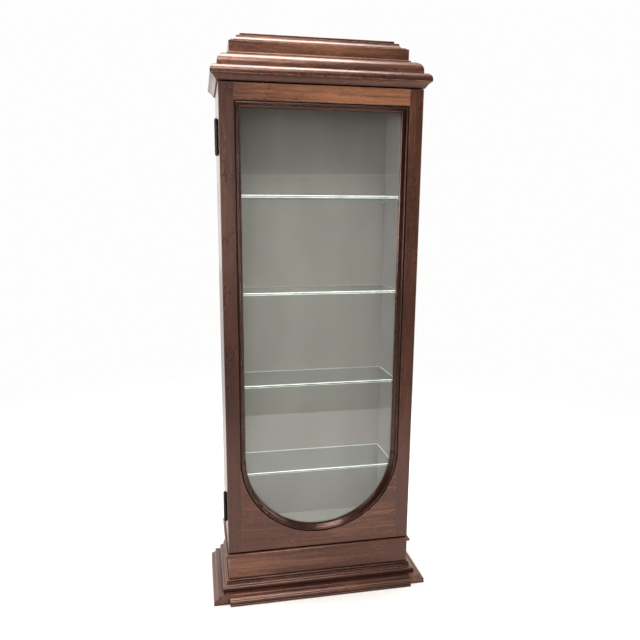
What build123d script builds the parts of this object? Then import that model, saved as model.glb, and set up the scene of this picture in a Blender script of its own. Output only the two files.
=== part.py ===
from build123d import *
import os
from math import acos, sin, sqrt

# Wall showcase, millimetres. +Z up, the door faces -Y, its hinges are on the -X side.
# The origin is at the middle of the footprint, on the plane the base stands on.

# ---- driving dimensions ----
door_w = 320.0            # width of the overlay door, and of the case behind it
door_h = 760.0
door_t = 20.0
door_bottom = 83.0        # height of the door's lower edge
reveal = 2.5              # gap above and below the door
door_gap = 1.0            # gap between the closed door and the case
body_d = 125.5            # door face to the back of the case
base_out = 27.5           # how far the lowest moulding stands out, at the sides and at the front
crown_out = 11.5          # how far the crown stands out at the sides
crown_front = 6.0         # and in front of the door's face

side_t = 18.0
board_t = 16.0
lining_t = 1.5
back_t = 5.0
ledge_t = 7.0
ledge_out = 4.0

stile_w = 22.9
rail_w = 24.5
arc_rail = 25.6           # wood left under the half-round
bead_w = 9.6
bead_d = 11.2             # depth of the bead, from the door's face to the glass
glass_t = 3.0
glass_lap = 7.5           # how far the glass goes behind the bead

shelf_t = 4.0
shelf_pitch = 156.0
first_shelf = 214.0       # top of the lowest shelf
shelf_count = 4
shelf_arris = 0.8         # ground chamfer along the shelf's edges

hinge_len = 52.0
hinge_inset = 50.0
knuckle_r = 2.8
knuckles = 5
hinge_pin_r = 1.25
leaf_t = 1.0
leaf_w = 17.0

base_lower_h = 17.0
base_upper_h = 17.0
notch = 7.5               # the side runs of the lowest moulding stop this far behind its front run

# ---- worked out from them ----
half_w = door_w / 2
depth = body_d + base_out
front_y = -depth / 2
face_y = front_y + base_out
door_back = face_y + door_t
case_y = door_back + door_gap
back_y = depth / 2
door_top = door_bottom + door_h
ledge_top = door_bottom - reveal
ledge_low = ledge_top - ledge_t
inner_top = door_top - 2.0
inner_x = half_w - side_t
lined_x = inner_x - lining_t
back_panel_y = back_y - back_t
lined_y = back_panel_y - lining_t
board_top = inner_top + board_t
plinth_low = base_lower_h

inner_r = half_w - stile_w
sight_r = inner_r - bead_w
arc_z = door_bottom + arc_rail + inner_r
rail_z = door_top - rail_w
sight_top = rail_z - bead_w

crown_x = half_w + crown_out
crown_y = face_y - crown_front
crown_low = door_top + reveal
crown_top = door_top + 25.0
base_x = half_w + base_out

os.makedirs("parts", exist_ok=True)


def finish(piece, label):
    piece.part.label = label
    export_step(piece.part, f"parts/{label}.step")
    return piece.part


def block(x0, x1, y0, y1, z0, z1):
    with BuildPart() as piece:
        with BuildSketch(Plane.XY.offset(z0)):
            with Locations(((x0 + x1) / 2, (y0 + y1) / 2)):
                Rectangle(x1 - x0, y1 - y0)
        extrude(amount=z1 - z0)
    return piece


def mirrored(part):
    with BuildPart() as piece:
        mirror(part, about=Plane.YZ)
    return piece


def less(part, *cutters):
    with BuildPart() as piece:
        add(part)
        for cutter in cutters:
            add(cutter, mode=Mode.SUBTRACT)
    return piece


# ---- screws ----
# A countersunk screw with its flat head at the origin of each place, driven along the place's +Z.
def screws(places, head_r, shank_r, length):
    with BuildPart() as piece:
        with Locations(*places):
            Cone(head_r, shank_r, head_r - shank_r, align=(Align.CENTER, Align.CENTER, Align.MIN))
            Cylinder(shank_r, length, align=(Align.CENTER, Align.CENTER, Align.MIN))
    return piece


def facing(x, y, z, direction):
    return Location(Plane(origin=(x, y, z), z_dir=direction))


back_dir = (0, 1, 0)
front_dir = (0, -1, 0)

# back panel screws, five up each side, in the rebate of the side panels
rebate = 8.0
panel_screw_x = inner_x + rebate / 2
panel_screws = 5
screw_low = ledge_top + 30
screw_step = (inner_top - 30 - screw_low) / (panel_screws - 1)
panel_places = [
    facing(sx * panel_screw_x, back_y, screw_low + i * screw_step, front_dir)
    for sx in (-1, 1)
    for i in range(panel_screws)
]

# hanger plates on the back of the hanging rail
hanger_x = 90.0
hanger_z = crown_top + 20
hanger_w = 16.0
hanger_h = 36.0
hanger_t = 1.5
hanger_hole_r = 4.2
hanger_slot_w = 4.6
hanger_slot_up = 9.0
hanger_screw_z = 13.5
hanger_places = [
    facing(sx * hanger_x, back_y, hanger_z + sz * hanger_screw_z, front_dir)
    for sx in (-1, 1)
    for sz in (-1, 1)
]
back_screws = screws(panel_places + hanger_places, 2.6, 1.2, 13)
finish(back_screws, "back_screws")

# ---- shelf pins ----
pin_r = 2.5
pin_in = 8.0              # length in the side panel, behind the lining
pin_out = 9.0
collar_r = 3.5
collar_t = 0.9
pin_y = (case_y + 14, lined_y - 14)
shelf_tops = [first_shelf + i * shelf_pitch for i in range(shelf_count)]
with BuildPart() as shelf_pins:
    for top in shelf_tops:
        for y in pin_y:
            for sx in (-1, 1):
                with Locations(facing(sx * lined_x, y, top - shelf_t - pin_r, (sx, 0, 0))):
                    Cylinder(pin_r, pin_in + lining_t, align=(Align.CENTER, Align.CENTER, Align.MIN))
                    Cylinder(pin_r, pin_out, align=(Align.CENTER, Align.CENTER, Align.MAX))
                    Cylinder(collar_r, collar_t, align=(Align.CENTER, Align.CENTER, Align.MAX))
finish(shelf_pins, "shelf_pins")

# ---- hinges ----
pin_x = -half_w - knuckle_r - 0.4
pin_line_y = door_back + door_gap / 2
hinge_z = {
    "lower": door_bottom + hinge_inset + hinge_len / 2,
    "upper": door_top - hinge_inset - hinge_len / 2,
}
leaf_gap = 0.2
leaf_front = pin_line_y - leaf_gap / 2          # door leaf, on the face towards the case
leaf_behind = pin_line_y + leaf_gap / 2
knuckle_gap = 0.4
knuckle_len = (hinge_len - (knuckles - 1) * knuckle_gap) / knuckles
running = 0.06
leaf_screw_x = -half_w + 9.0
leaf_screw_step = 18.0
leaf_reach = pin_x + leaf_w


def leaf_places(y, direction):
    return [
        facing(leaf_screw_x, y, z + i * leaf_screw_step, direction)
        for z in hinge_z.values()
        for i in (-1, 0, 1)
    ]


leaf_screw_head = 2.2
leaf_screw_shank = 1.1
door_leaf_screws = screws(leaf_places(leaf_front, front_dir), leaf_screw_head, leaf_screw_shank, 10)
frame_leaf_screws = screws(leaf_places(leaf_behind, back_dir), leaf_screw_head, leaf_screw_shank, 12)
finish(door_leaf_screws, "door_leaf_screws")
finish(frame_leaf_screws, "frame_leaf_screws")


def leaf(z_mid, y0, y1, first, bore_r, fixings):
    low = z_mid - hinge_len / 2
    with BuildPart() as piece:
        with BuildSketch(Plane.XY.offset(low)):
            with Locations(((-half_w + leaf_reach) / 2, (y0 + y1) / 2)):
                Rectangle(leaf_reach + half_w, y1 - y0)
        extrude(amount=hinge_len)
        for i in range(first, knuckles, 2):
            z = low + i * (knuckle_len + knuckle_gap)
            with BuildSketch(Plane.XY.offset(z)):
                with Locations((pin_x, pin_line_y)):
                    Circle(knuckle_r)
                with Locations(((pin_x - half_w) / 2, (y0 + y1) / 2)):
                    Rectangle(-half_w - pin_x, y1 - y0)
                with Locations((pin_x, pin_line_y)):
                    Circle(bore_r, mode=Mode.SUBTRACT)
            extrude(amount=knuckle_len)
        add(fixings, mode=Mode.SUBTRACT)
    return piece


door_leaves = {}
frame_leaves = {}
for place, z_mid in hinge_z.items():
    loose_r = hinge_pin_r + running
    door_side = (leaf_front - leaf_t, leaf_front)
    frame_side = (leaf_behind, leaf_behind + leaf_t)
    door_leaf = leaf(z_mid, *door_side, 1, loose_r, door_leaf_screws.part)
    frame_leaf = leaf(z_mid, *frame_side, 0, hinge_pin_r, frame_leaf_screws.part)
    door_leaves[place] = finish(door_leaf, f"{place}_hinge_door_leaf")
    frame_leaves[place] = finish(frame_leaf, f"{place}_hinge_frame_leaf")

tip_r = 1.9
tip_h = 1.6
with BuildPart() as hinge_pins:
    for z_mid in hinge_z.values():
        with Locations((pin_x, pin_line_y, z_mid)):
            Cylinder(hinge_pin_r, hinge_len)
        with Locations((pin_x, pin_line_y, z_mid + hinge_len / 2)):
            Cylinder(tip_r, tip_h, align=(Align.CENTER, Align.CENTER, Align.MIN))
        with Locations((pin_x, pin_line_y, z_mid - hinge_len / 2)):
            Cylinder(tip_r, tip_h, align=(Align.CENTER, Align.CENTER, Align.MAX))
    fillet(hinge_pins.edges().filter_by(GeomType.CIRCLE).group_by(Axis.Z)[0], 0.8)
    fillet(hinge_pins.edges().filter_by(GeomType.CIRCLE).group_by(Axis.Z)[-1], 0.8)
finish(hinge_pins, "hinge_pins")


def mortise(z_mid, y0, y1):
    return block(-half_w, leaf_reach, y0, y1, z_mid - hinge_len / 2, z_mid + hinge_len / 2).part


# ---- magnetic catch, under the top board behind the door's top rail ----
catch_x = 110.0
catch_w = 34.0
catch_h = 11.0
catch_y1 = case_y + 16
magnet_w = 16.0
magnet_h = 7.0
magnet_d = 10.0
magnet_proud = 0.5        # the magnet stands this far out of its housing, towards the door
plate_t = 0.8
plate_w = 18.0
plate_h = 9.0
catch_z = inner_top - catch_h / 2
catch_screw_x = 13.0
catch_screw_y = case_y + 9
catch_low = inner_top - catch_h
catch_places = [
    facing(catch_x + sx * catch_screw_x, catch_screw_y, catch_low, (0, 0, 1)) for sx in (-1, 1)
]
catch_screws = screws(catch_places, leaf_screw_head, leaf_screw_shank, catch_h + 8)
finish(catch_screws, "catch_screws")

magnet_x0 = catch_x - magnet_w / 2
magnet_z0 = catch_z - magnet_h / 2
catch_magnet = block(
    magnet_x0, magnet_x0 + magnet_w, case_y, case_y + magnet_d, magnet_z0, magnet_z0 + magnet_h
)
finish(catch_magnet, "catch_magnet")
with BuildPart() as catch_housing:
    catch_x0 = catch_x - catch_w / 2
    catch_y0 = case_y + magnet_proud
    add(block(catch_x0, catch_x0 + catch_w, catch_y0, catch_y1, catch_low, inner_top).part)
    fillet(catch_housing.edges().filter_by(Axis.Z), 2.0)
    add(catch_magnet.part, mode=Mode.SUBTRACT)
    add(catch_screws.part, mode=Mode.SUBTRACT)
finish(catch_housing, "catch_housing")

with BuildPart() as catch_plate:
    plate_x0 = catch_x - plate_w / 2
    plate_z0 = catch_z - plate_h / 2
    plate_x1 = plate_x0 + plate_w
    plate_z1 = plate_z0 + plate_h
    add(block(plate_x0, plate_x1, door_back, door_back + plate_t, plate_z0, plate_z1).part)
    fillet(catch_plate.edges().filter_by(Axis.Y), 1.5)
finish(catch_plate, "catch_plate")

bumper_r = 4.0
bumper_in = 9.0
bumper_up = 20.0
with BuildPart() as door_bumpers:
    for z in (door_bottom + bumper_up, door_top - bumper_up):
        with Locations(facing(half_w - bumper_in, door_back, z, back_dir)):
            Cylinder(bumper_r, plate_t, align=(Align.CENTER, Align.CENTER, Align.MIN))
finish(door_bumpers, "door_bumpers")

# ---- case ----
with BuildPart() as side_panel_left:
    add(block(-half_w, -inner_x, case_y, back_y, ledge_top, inner_top).part)
    add(
        block(-inner_x - rebate, -inner_x, back_panel_y, back_y, ledge_top, inner_top).part,
        mode=Mode.SUBTRACT,
    )
side_panel_right = mirrored(side_panel_left.part)
for z_mid in hinge_z.values():
    side_panel_left = less(side_panel_left.part, mortise(z_mid, case_y, leaf_behind + leaf_t))
side_cuts = (shelf_pins.part, back_screws.part)
side_panel_left = less(side_panel_left.part, *side_cuts, frame_leaf_screws.part)
side_panel_right = less(side_panel_right.part, *side_cuts)
finish(side_panel_left, "side_panel_left")
finish(side_panel_right, "side_panel_right")

back_w = inner_x + rebate
back_panel = block(-back_w, back_w, back_panel_y, back_y, ledge_top, inner_top)
finish(less(back_panel.part, back_screws.part), "back_panel")

top_board = block(-half_w, half_w, case_y, back_y, inner_top, board_top)
finish(less(top_board.part, catch_screws.part), "top_board")
cornice_board = block(-half_w, half_w, case_y, back_y, board_top, crown_top)
finish(cornice_board, "cornice_board")

# bottom board: its nosed edge shows as a ledge under the door
nose_r = ledge_t / 2 - 0.4
with BuildPart() as bottom_board:
    ledge_x = half_w + ledge_out
    add(block(-ledge_x, ledge_x, face_y - ledge_out, back_y, ledge_low, ledge_top).part)
    rim = bottom_board.edges().filter_by(Axis.X).group_by(Axis.Y)[0]
    rim += bottom_board.edges().filter_by(Axis.Y)
    fillet(rim, nose_r)
finish(bottom_board, "bottom_board")

# linings: thin boards covered in grey cloth
finish(block(-inner_x, inner_x, lined_y, back_panel_y, ledge_top, inner_top), "back_lining")
side_lining = block(-inner_x, -lined_x, case_y, lined_y, ledge_top, inner_top)
finish(less(side_lining.part, shelf_pins.part), "side_lining_left")
finish(less(mirrored(side_lining.part).part, shelf_pins.part), "side_lining_right")
finish(block(-lined_x, lined_x, case_y, lined_y, ledge_top, ledge_top + lining_t), "floor_lining")

# ---- glass shelves ----
shelf_x = lined_x - 1.0
shelf_front = case_y + 3.0
shelf_back = lined_y - 1.0
for number, top in enumerate(shelf_tops, start=1):
    with BuildPart() as shelf:
        add(block(-shelf_x, shelf_x, shelf_front, shelf_back, top - shelf_t, top).part)
        fillet(shelf.edges().filter_by(Axis.Z), 1.5)
        chamfer(shelf.edges().group_by(Axis.Z)[-1], shelf_arris)
        chamfer(shelf.edges().group_by(Axis.Z)[0], shelf_arris)
    finish(shelf, f"glass_shelf_{number}")

# ---- plinth ----
plinth_t = 12.0
finish(block(-half_w, half_w, face_y, face_y + plinth_t, plinth_low, ledge_low), "plinth_front")
plinth_left = block(-half_w, -half_w + plinth_t, face_y + plinth_t, back_y, plinth_low, ledge_low)
finish(plinth_left, "plinth_left")
plinth_in = half_w - plinth_t
finish(block(-plinth_in, plinth_in, back_y - plinth_t, back_y, plinth_low, ledge_low), "plinth_back")
finish(mirrored(plinth_left.part), "plinth_right")
finish(block(-half_w, half_w, face_y, back_y, 0, base_lower_h), "base_board")


# ---- mouldings ----
# A profile is drawn in (e, z): e is the distance in from the moulding's outermost edge.
# at(e, z) turns it into the sketch plane of the front run or of the left run.
def front_run(draw, tip_x, tip_y, plan):
    with BuildPart() as piece:
        with BuildSketch(Plane.YZ.offset(-tip_x)):
            with BuildLine():
                draw(lambda e, z: (tip_y + e, z))
            make_face()
        extrude(amount=2 * tip_x)
        with BuildSketch(mode=Mode.PRIVATE) as outline:
            Polygon(*plan, align=None)
        extrude(outline.sketch, amount=door_top * 2, mode=Mode.INTERSECT)
    return piece


def left_run(draw, tip_x, start_y, plan):
    with BuildPart() as piece:
        with BuildSketch(Plane.XZ.offset(-back_y)):
            with BuildLine():
                draw(lambda e, z: (-tip_x + e, z))
            make_face()
        extrude(amount=back_y - start_y)
        with BuildSketch(mode=Mode.PRIVATE) as outline:
            Polygon(*plan, align=None)
        extrude(outline.sketch, amount=door_top * 2, mode=Mode.INTERSECT)
    return piece


def front_plan(tip_x, tip_y, inner_e, deep_e):
    # mitred in to inner_e at both ends, then straight back to deep_e where the run is deeper
    corner = [(tip_x, tip_y), (tip_x - inner_e, tip_y + inner_e)]
    if deep_e > inner_e:
        corner.append((tip_x - inner_e, tip_y + deep_e))
    return corner + [(-x, y) for x, y in reversed(corner)]


def left_plan(tip_x, tip_y, inner_e):
    return [
        (-tip_x, tip_y),
        (-tip_x + inner_e, tip_y + inner_e),
        (-tip_x + inner_e, back_y),
        (-tip_x, back_y),
    ]


def mitred_set(name, draw_front, draw_side, tip_x, tip_y, inner_e, deep_e):
    front = front_run(draw_front, tip_x, tip_y, front_plan(tip_x, tip_y, inner_e, deep_e))
    left = left_run(draw_side, tip_x, tip_y, left_plan(tip_x, tip_y, inner_e))
    finish(front, f"{name}_front")
    finish(left, f"{name}_left")
    finish(mirrored(left.part), f"{name}_right")


# Steps of a profile: ("line", point, point, ...) or ("arc", start, through, end), with z from base_z up.
def traced(steps, base_z):
    def draw(at):
        for kind, *points in steps:
            placed = [at(e, base_z + z) for e, z in points]
            if kind == "line":
                Polyline(*placed)
            else:
                ThreePointArc(*placed)

    return draw


def quarter(at, start, end, centre):
    # a quarter curve from start to end about centre, through the point halfway round
    half = sqrt(0.5)
    mid_e = centre[0] + (start[0] + end[0] - 2 * centre[0]) * half
    mid_z = centre[1] + (start[1] + end[1] - 2 * centre[1]) * half
    ThreePointArc(at(*start), at(mid_e, mid_z), at(*end))


# crown: bevelled and hollowed underside, short vertical edge, round top
crown_tip = door_top + 11.6
crown_edge = 3.4
crown_round = crown_top - crown_tip - crown_edge
crown_under = [(9.0, 0.0), (7.8, 1.6), (5.7, 4.6)]        # (e, height over the crown's lower face)
crown_hollow = (2.6, 7.3)


def crown_profile(deep_e):
    edge_z = crown_tip + crown_edge

    def draw(at):
        Polyline(
            at(crown_round + 0.5, crown_top),
            at(deep_e, crown_top),
            at(deep_e, crown_low),
            *[at(e, crown_low + z) for e, z in crown_under],
        )
        hollow_end, hollow_start = crown_under[-1], (0, crown_tip - crown_low)
        traced([("arc", hollow_end, crown_hollow, hollow_start)], crown_low)(at)
        Line(at(0, crown_tip), at(0, edge_z))
        quarter(at, (0, edge_z), (crown_round, crown_top), (crown_round, edge_z))
        Line(at(crown_round, crown_top), at(crown_round + 0.5, crown_top))

    return draw


crown_deep = case_y - crown_y
front_crown = crown_profile(crown_deep)
side_crown = crown_profile(crown_out)
mitred_set("crown", front_crown, side_crown, crown_x, crown_y, crown_out, crown_deep)

# frieze: quarter round at its foot, a fillet, then a plain upright
ovolo_e = 10.8
ovolo_r = 14.7
ovolo_foot = 4.6
fillet_e = 26.8
frieze_e = 29.6
frieze_in = 43.6
frieze_top = door_top + 64.4


def frieze_profile(at):
    round_z = crown_top + ovolo_foot
    top_z = round_z + ovolo_r
    Polyline(at(frieze_in, crown_top), at(ovolo_e, crown_top), at(ovolo_e, round_z))
    quarter(at, (ovolo_e, round_z), (ovolo_e + ovolo_r, top_z), (ovolo_e + ovolo_r, round_z))
    Polyline(
        at(ovolo_e + ovolo_r, top_z),
        at(fillet_e, top_z),
        at(fillet_e, top_z + 2.6),
        at(frieze_e, top_z + 4.0),
        at(frieze_e, frieze_top),
        at(frieze_in, frieze_top),
        at(frieze_in, crown_top),
    )


mitred_set("frieze", frieze_profile, frieze_profile, crown_x, crown_y, frieze_in, frieze_in)

# cap moulding: a small step and a cove, with the cap board on top
cap_e = 48.0
cap_t = 5.0
cove_in = 60.0
cove_low_e = 33.0
cove_top_e = 42.0
cap_low = door_top + 75.7


cap_steps = [
    ("line", (cove_in, 0), (31.6, 0), (31.6, 1.0), (cove_low_e, 1.0), (cove_low_e, 2.4)),
    ("arc", (cove_low_e, 2.4), (39.2, 5.0), (cove_top_e, 9.9)),
    ("line", (cove_top_e, 9.9), (cove_top_e, 11.3), (cove_in, 11.3), (cove_in, 0)),
]
cap_profile = traced(cap_steps, frieze_top)
cap_front = front_run(cap_profile, crown_x, crown_y, front_plan(crown_x, crown_y, cove_in, cove_in))
cap_left = left_run(cap_profile, crown_x, crown_y, left_plan(crown_x, crown_y, cove_in))
cap_moulding = Compound(children=[cap_front.part, cap_left.part, mirrored(cap_left.part).part])
cap_moulding.label = "cap_moulding"
export_step(cap_moulding, "parts/cap_moulding.step")

cap_board = block(-crown_x + cap_e, crown_x - cap_e, crown_y + cap_e, back_y, cap_low, cap_low + cap_t)
finish(cap_board, "cap_board")


# base, upper moulding: bead, fillet and ogee over a plain foot
upper_steps = [
    ("line", (base_out, 0), (base_out, 17.0), (25.5, 17.0)),
    ("arc", (25.5, 17.0), (24.0, 15.5), (25.5, 14.0)),
    ("line", (25.5, 14.0), (25.5, 13.3), (23.1, 13.3), (23.1, 12.1)),
    ("arc", (23.1, 12.1), (22.5, 8.65), (19.95, 7.65)),
    ("arc", (19.95, 7.65), (17.4, 6.65), (16.8, 3.2)),
    ("line", (16.8, 3.2), (16.8, 0), (base_out, 0)),
]
upper_profile = traced(upper_steps, base_lower_h)

# base, lower moulding: small nose and cove over a bead, on a plain foot
lower_steps = [
    ("line", (base_out, 0), (base_out, 17.0), (8.4, 17.0)),
    ("arc", (8.4, 17.0), (7.4, 16.1), (8.0, 15.0)),
    ("arc", (8.0, 15.0), (6.7, 11.6), (2.6, 9.4)),
    ("arc", (2.6, 9.4), (0.2, 7.0), (2.2, 4.6)),
    ("line", (2.2, 4.6), (0, 3.6), (0, 0), (base_out, 0)),
]
lower_profile = traced(lower_steps, 0)

mitred_set("base_upper", upper_profile, upper_profile, base_x, front_y, base_out, base_out)

lower_plan_front = [(-half_w, front_y), (half_w, front_y), (half_w, face_y), (-half_w, face_y)]
finish(front_run(lower_profile, half_w, front_y, lower_plan_front), "base_lower_front")
side_start = front_y + notch
lower_plan_left = [
    (-base_x, side_start),
    (-half_w, side_start),
    (-half_w, back_y),
    (-base_x, back_y),
]
base_lower_left = left_run(lower_profile, base_x, side_start, lower_plan_left)
finish(base_lower_left, "base_lower_left")
finish(mirrored(base_lower_left.part), "base_lower_right")

# ---- hanging rail and its keyhole plates ----
rail_x = crown_x - frieze_in
tongue_x = crown_x - cove_in
rail_t = 14.0
pocket_d = 8.0
with BuildPart() as hanger_plates:
    for sx in (-1, 1):
        with BuildSketch(Plane.XZ.offset(-back_y)):
            with Locations((sx * hanger_x, hanger_z)):
                RectangleRounded(hanger_w, hanger_h, 3.0)
                Circle(hanger_hole_r, mode=Mode.SUBTRACT)
            with Locations((sx * hanger_x, hanger_z + hanger_slot_up / 2)):
                Rectangle(hanger_slot_w, hanger_slot_up, mode=Mode.SUBTRACT)
            with Locations((sx * hanger_x, hanger_z + hanger_slot_up)):
                Circle(hanger_slot_w / 2, mode=Mode.SUBTRACT)
        extrude(amount=hanger_t)
    add(back_screws.part, mode=Mode.SUBTRACT)
finish(hanger_plates, "hanger_plates")

with BuildPart() as hanging_rail:
    add(block(-rail_x, rail_x, back_y - rail_t, back_y, crown_top, frieze_top).part)
    add(block(-tongue_x, tongue_x, back_y - rail_t, back_y, frieze_top, cap_low).part)
    for sx in (-1, 1):
        with BuildSketch(Plane.XZ.offset(-back_y)):
            with Locations((sx * hanger_x, hanger_z)):
                RectangleRounded(hanger_w, hanger_h, 3.0)
        extrude(amount=hanger_t, mode=Mode.SUBTRACT)
        with BuildSketch(Plane.XZ.offset(-back_y)):
            with Locations((sx * hanger_x, hanger_z + hanger_slot_up / 2)):
                SlotOverall(hanger_slot_up + 2 * hanger_hole_r, 2 * hanger_hole_r, rotation=90)
        extrude(amount=pocket_d, mode=Mode.SUBTRACT)
    add(back_screws.part, mode=Mode.SUBTRACT)
finish(hanging_rail, "hanging_rail")

# ---- door ----
edge_r = 1.2
with BuildPart() as stile:
    add(block(-half_w, -inner_r, face_y, door_back, door_bottom, door_top).part)
    fillet(stile.edges().filter_by(Axis.Z).group_by(Axis.Y)[0].sort_by(Axis.X)[0], edge_r)
stile_cuts = [mortise(z_mid, leaf_front - leaf_t, door_back) for z_mid in hinge_z.values()]
finish(less(stile.part, *stile_cuts, door_leaf_screws.part), "stile_left")
finish(mirrored(stile.part), "stile_right")
finish(block(-inner_r, inner_r, face_y, door_back, rail_z, door_top), "top_rail")

# the horns beside the half-round stop where they are still this thick
horn_t = 0.8
horn_z = arc_z - inner_r * sin(acos(1 - horn_t / inner_r))
with BuildPart() as bottom_panel:
    add(block(-inner_r, inner_r, face_y, door_back, door_bottom, horn_z).part)
    with BuildSketch(Plane.XZ.offset(-face_y)):
        with Locations((0, arc_z)):
            Circle(inner_r)
    extrude(amount=-door_t, mode=Mode.SUBTRACT)
finish(bottom_panel, "bottom_panel")


# bead profile in (u, v): u from the frame's inner edge towards the glass, v back from the door's face.
# A deep quirk, a narrow round bead, a hollow slope and a last small step down to the glass.
quirk_w = 1.9
quirk_d = 3.2
bead_end_u = 4.7
bead_proud = 0.5
slope_end = (8.3, 6.6)
slope_hollow = 0.5
step_u = 0.5


def bead_profile(at):
    crest_u = (quirk_w + bead_end_u) / 2
    slope_u = (bead_end_u + slope_end[0]) / 2 - slope_hollow
    slope_v = (1.4 + slope_end[1]) / 2 + slope_hollow
    Polyline(at(0, bead_d), at(0, quirk_d), at(quirk_w - 0.4, quirk_d), at(quirk_w, 1.2))
    ThreePointArc(at(quirk_w, 1.2), at(crest_u, -bead_proud), at(bead_end_u, 1.4))
    ThreePointArc(at(bead_end_u, 1.4), at(slope_u, slope_v), at(*slope_end))
    Polyline(
        at(*slope_end),
        at(slope_end[0], slope_end[1] + step_u * 2),
        at(bead_w, slope_end[1] + step_u * 3),
        at(bead_w, bead_d),
        at(0, bead_d),
    )


def strip_profile(at):
    strip_v = bead_d + glass_t
    Polyline(
        at(0, strip_v),
        at(glass_lap, strip_v),
        at(glass_lap, door_t - 1.5),
        at(glass_lap - 1.2, door_t - 0.3),
        at(0, door_t - 0.3),
        close=True,
    )


# straight pieces run up the stiles and along the rail, mitred at the two top corners,
# and the half-round piece turns about the centre of the arc
def upright(profile):
    with BuildPart() as piece:
        with BuildSketch(Plane.XY.offset(arc_z)):
            with BuildLine():
                profile(lambda u, v: (-inner_r + u, face_y + v))
            make_face()
        extrude(amount=rail_z - arc_z)
        with BuildSketch(Plane.XZ.offset(-face_y + 2), mode=Mode.PRIVATE) as beyond:
            Polygon((-inner_r, rail_z), (0, rail_z), (0, rail_z - inner_r), align=None)
        extrude(beyond.sketch, amount=-door_t - 4, mode=Mode.SUBTRACT)
    return piece


def lintel(profile):
    with BuildPart() as piece:
        with BuildSketch(Plane.YZ.offset(-inner_r)):
            with BuildLine():
                profile(lambda u, v: (face_y + v, rail_z - u))
            make_face()
        extrude(amount=2 * inner_r)
        with BuildSketch(Plane.XZ.offset(-face_y + 2), mode=Mode.PRIVATE) as within:
            Polygon((-inner_r, rail_z), (inner_r, rail_z), (0, rail_z - inner_r), align=None)
        extrude(within.sketch, amount=-door_t - 4, mode=Mode.INTERSECT)
    return piece


def half_round(profile):
    with BuildPart() as piece:
        with BuildSketch(Plane.XY.offset(arc_z)):
            with BuildLine():
                profile(lambda u, v: (-inner_r + u, face_y + v))
            make_face()
        revolve(axis=Axis((0, face_y, arc_z), (0, 1, 0)), revolution_arc=-180)
    return piece


bead_left = upright(bead_profile)
finish(bead_left, "bead_left")
finish(mirrored(bead_left.part), "bead_right")
finish(lintel(bead_profile), "bead_top")
finish(half_round(bead_profile), "bead_arc")

strip_left = upright(strip_profile)
strip_parts = [
    strip_left.part,
    mirrored(strip_left.part).part,
    lintel(strip_profile).part,
    half_round(strip_profile).part,
]
retainer_strips = Compound(children=strip_parts)
retainer_strips.label = "retainer_strips"
export_step(retainer_strips, "parts/retainer_strips.step")

glass_r = sight_r + glass_lap
with BuildPart() as door_glass:
    with BuildSketch(Plane.XZ.offset(-face_y - bead_d)):
        with BuildLine():
            glass_top = sight_top + glass_lap
            Polyline((-glass_r, arc_z), (-glass_r, glass_top), (glass_r, glass_top), (glass_r, arc_z))
            ThreePointArc((glass_r, arc_z), (0, arc_z - glass_r), (-glass_r, arc_z))
        make_face()
    extrude(amount=-glass_t)
finish(door_glass, "door_glass")

print("overall", 2 * base_x, depth, cap_low + cap_t)
print("pin line", pin_x, pin_line_y, "shelf tops", shelf_tops)
print("hanger holes", hanger_x, hanger_z, "back face", back_y)
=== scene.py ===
from math import atan2, cos, pi, radians, sin

import bmesh
import bpy
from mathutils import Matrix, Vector


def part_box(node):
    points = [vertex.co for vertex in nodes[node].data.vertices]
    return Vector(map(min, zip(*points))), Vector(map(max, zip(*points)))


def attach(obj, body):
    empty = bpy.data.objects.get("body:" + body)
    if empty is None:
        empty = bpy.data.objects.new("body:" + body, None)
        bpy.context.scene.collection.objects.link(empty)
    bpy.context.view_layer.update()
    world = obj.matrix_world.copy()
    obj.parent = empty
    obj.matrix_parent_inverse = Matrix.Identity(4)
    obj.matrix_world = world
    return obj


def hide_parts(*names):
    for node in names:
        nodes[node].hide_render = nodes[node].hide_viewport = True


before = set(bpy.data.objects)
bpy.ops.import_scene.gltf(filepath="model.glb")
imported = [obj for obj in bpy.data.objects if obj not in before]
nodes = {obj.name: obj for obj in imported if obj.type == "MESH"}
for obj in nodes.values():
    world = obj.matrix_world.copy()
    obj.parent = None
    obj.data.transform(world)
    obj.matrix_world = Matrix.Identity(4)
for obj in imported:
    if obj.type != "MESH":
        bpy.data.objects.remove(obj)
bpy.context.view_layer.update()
print("frame loaded,", len(nodes), "nodes")


# ways to wire nodes

class Value:
    # the output of a node: sums and products written on it add Math nodes
    def __init__(self, net, socket):
        self.net, self.socket = net, socket

    def maths(self, operation, first, second=0.0):
        return self.net.put("ShaderNodeMath", {"operation": operation}, {0: first, 1: second})

    def alone(self, operation):
        return self.net.put("ShaderNodeMath", {"operation": operation}, {0: self})

    def __add__(self, other):
        return self.maths("ADD", self, other)

    def __radd__(self, other):
        return self.maths("ADD", other, self)

    def __sub__(self, other):
        return self.maths("SUBTRACT", self, other)

    def __rsub__(self, other):
        return self.maths("SUBTRACT", other, self)

    def __mul__(self, other):
        return self.maths("MULTIPLY", self, other)

    def __rmul__(self, other):
        return self.maths("MULTIPLY", other, self)

    def __truediv__(self, other):
        return self.maths("DIVIDE", self, other)


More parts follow.
